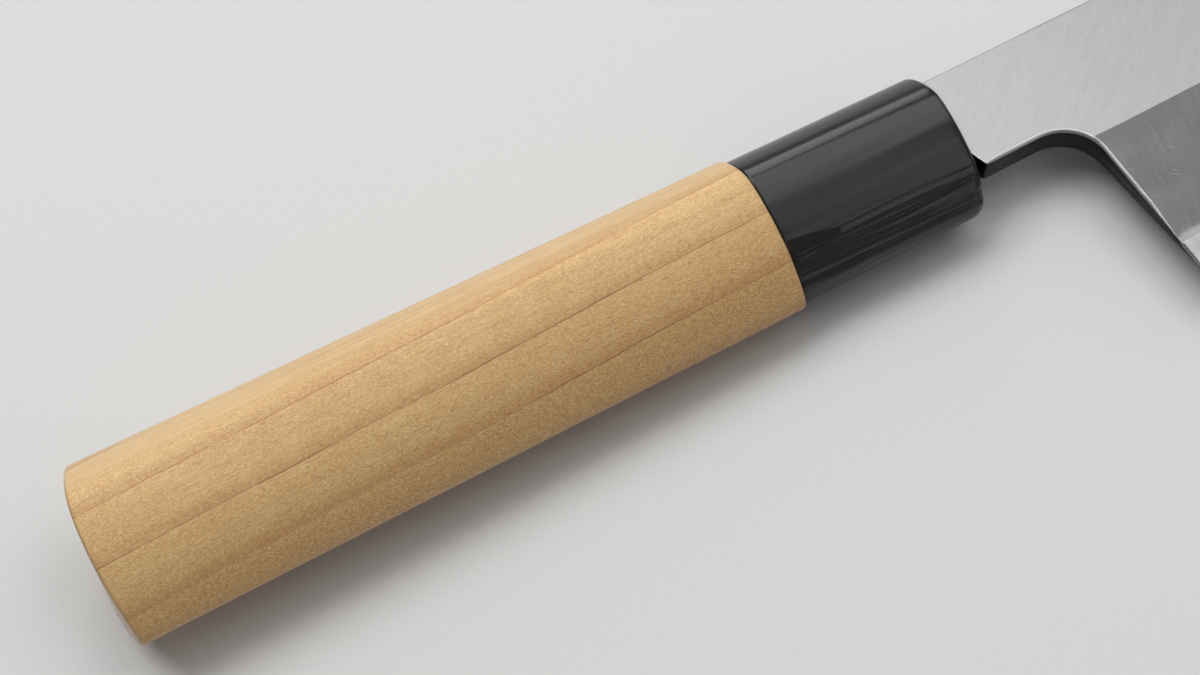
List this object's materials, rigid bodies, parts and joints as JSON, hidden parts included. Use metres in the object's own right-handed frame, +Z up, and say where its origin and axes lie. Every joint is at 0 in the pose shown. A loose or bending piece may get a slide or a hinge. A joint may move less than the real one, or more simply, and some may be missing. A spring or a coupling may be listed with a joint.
{
  "type": "usuba knife",
  "caption": "Japanese vegetable knife: a tall straight blade ground on one side, a narrow neck, a black ferrule and a ridged pale wooden handle.",
  "frame": {"origin": "on the surface that the knife lies on, below the middle of its bounding box", "axes": "+X from the butt to the tip, +Y from the cutting edge to the spine, +Z up, out of the bevelled right face"},
  "size_m": [0.3316, 0.0494, 0.0236],
  "materials": {
    "iron": "flat finely brushed across the blade, bevel stone-matt",
    "edge_steel": "bright polished",
    "wood": "planed and sanded, unvarnished magnolia",
    "horn": "polished black buffalo horn",
    "resin": "dull dark resin"
  },
  "bodies": {
    "root": {"iron_body": "iron", "edge_steel": "edge_steel", "handle": "wood", "ferrule": "horn", "tang_seal": "resin"}
  },
  "joints": []
}
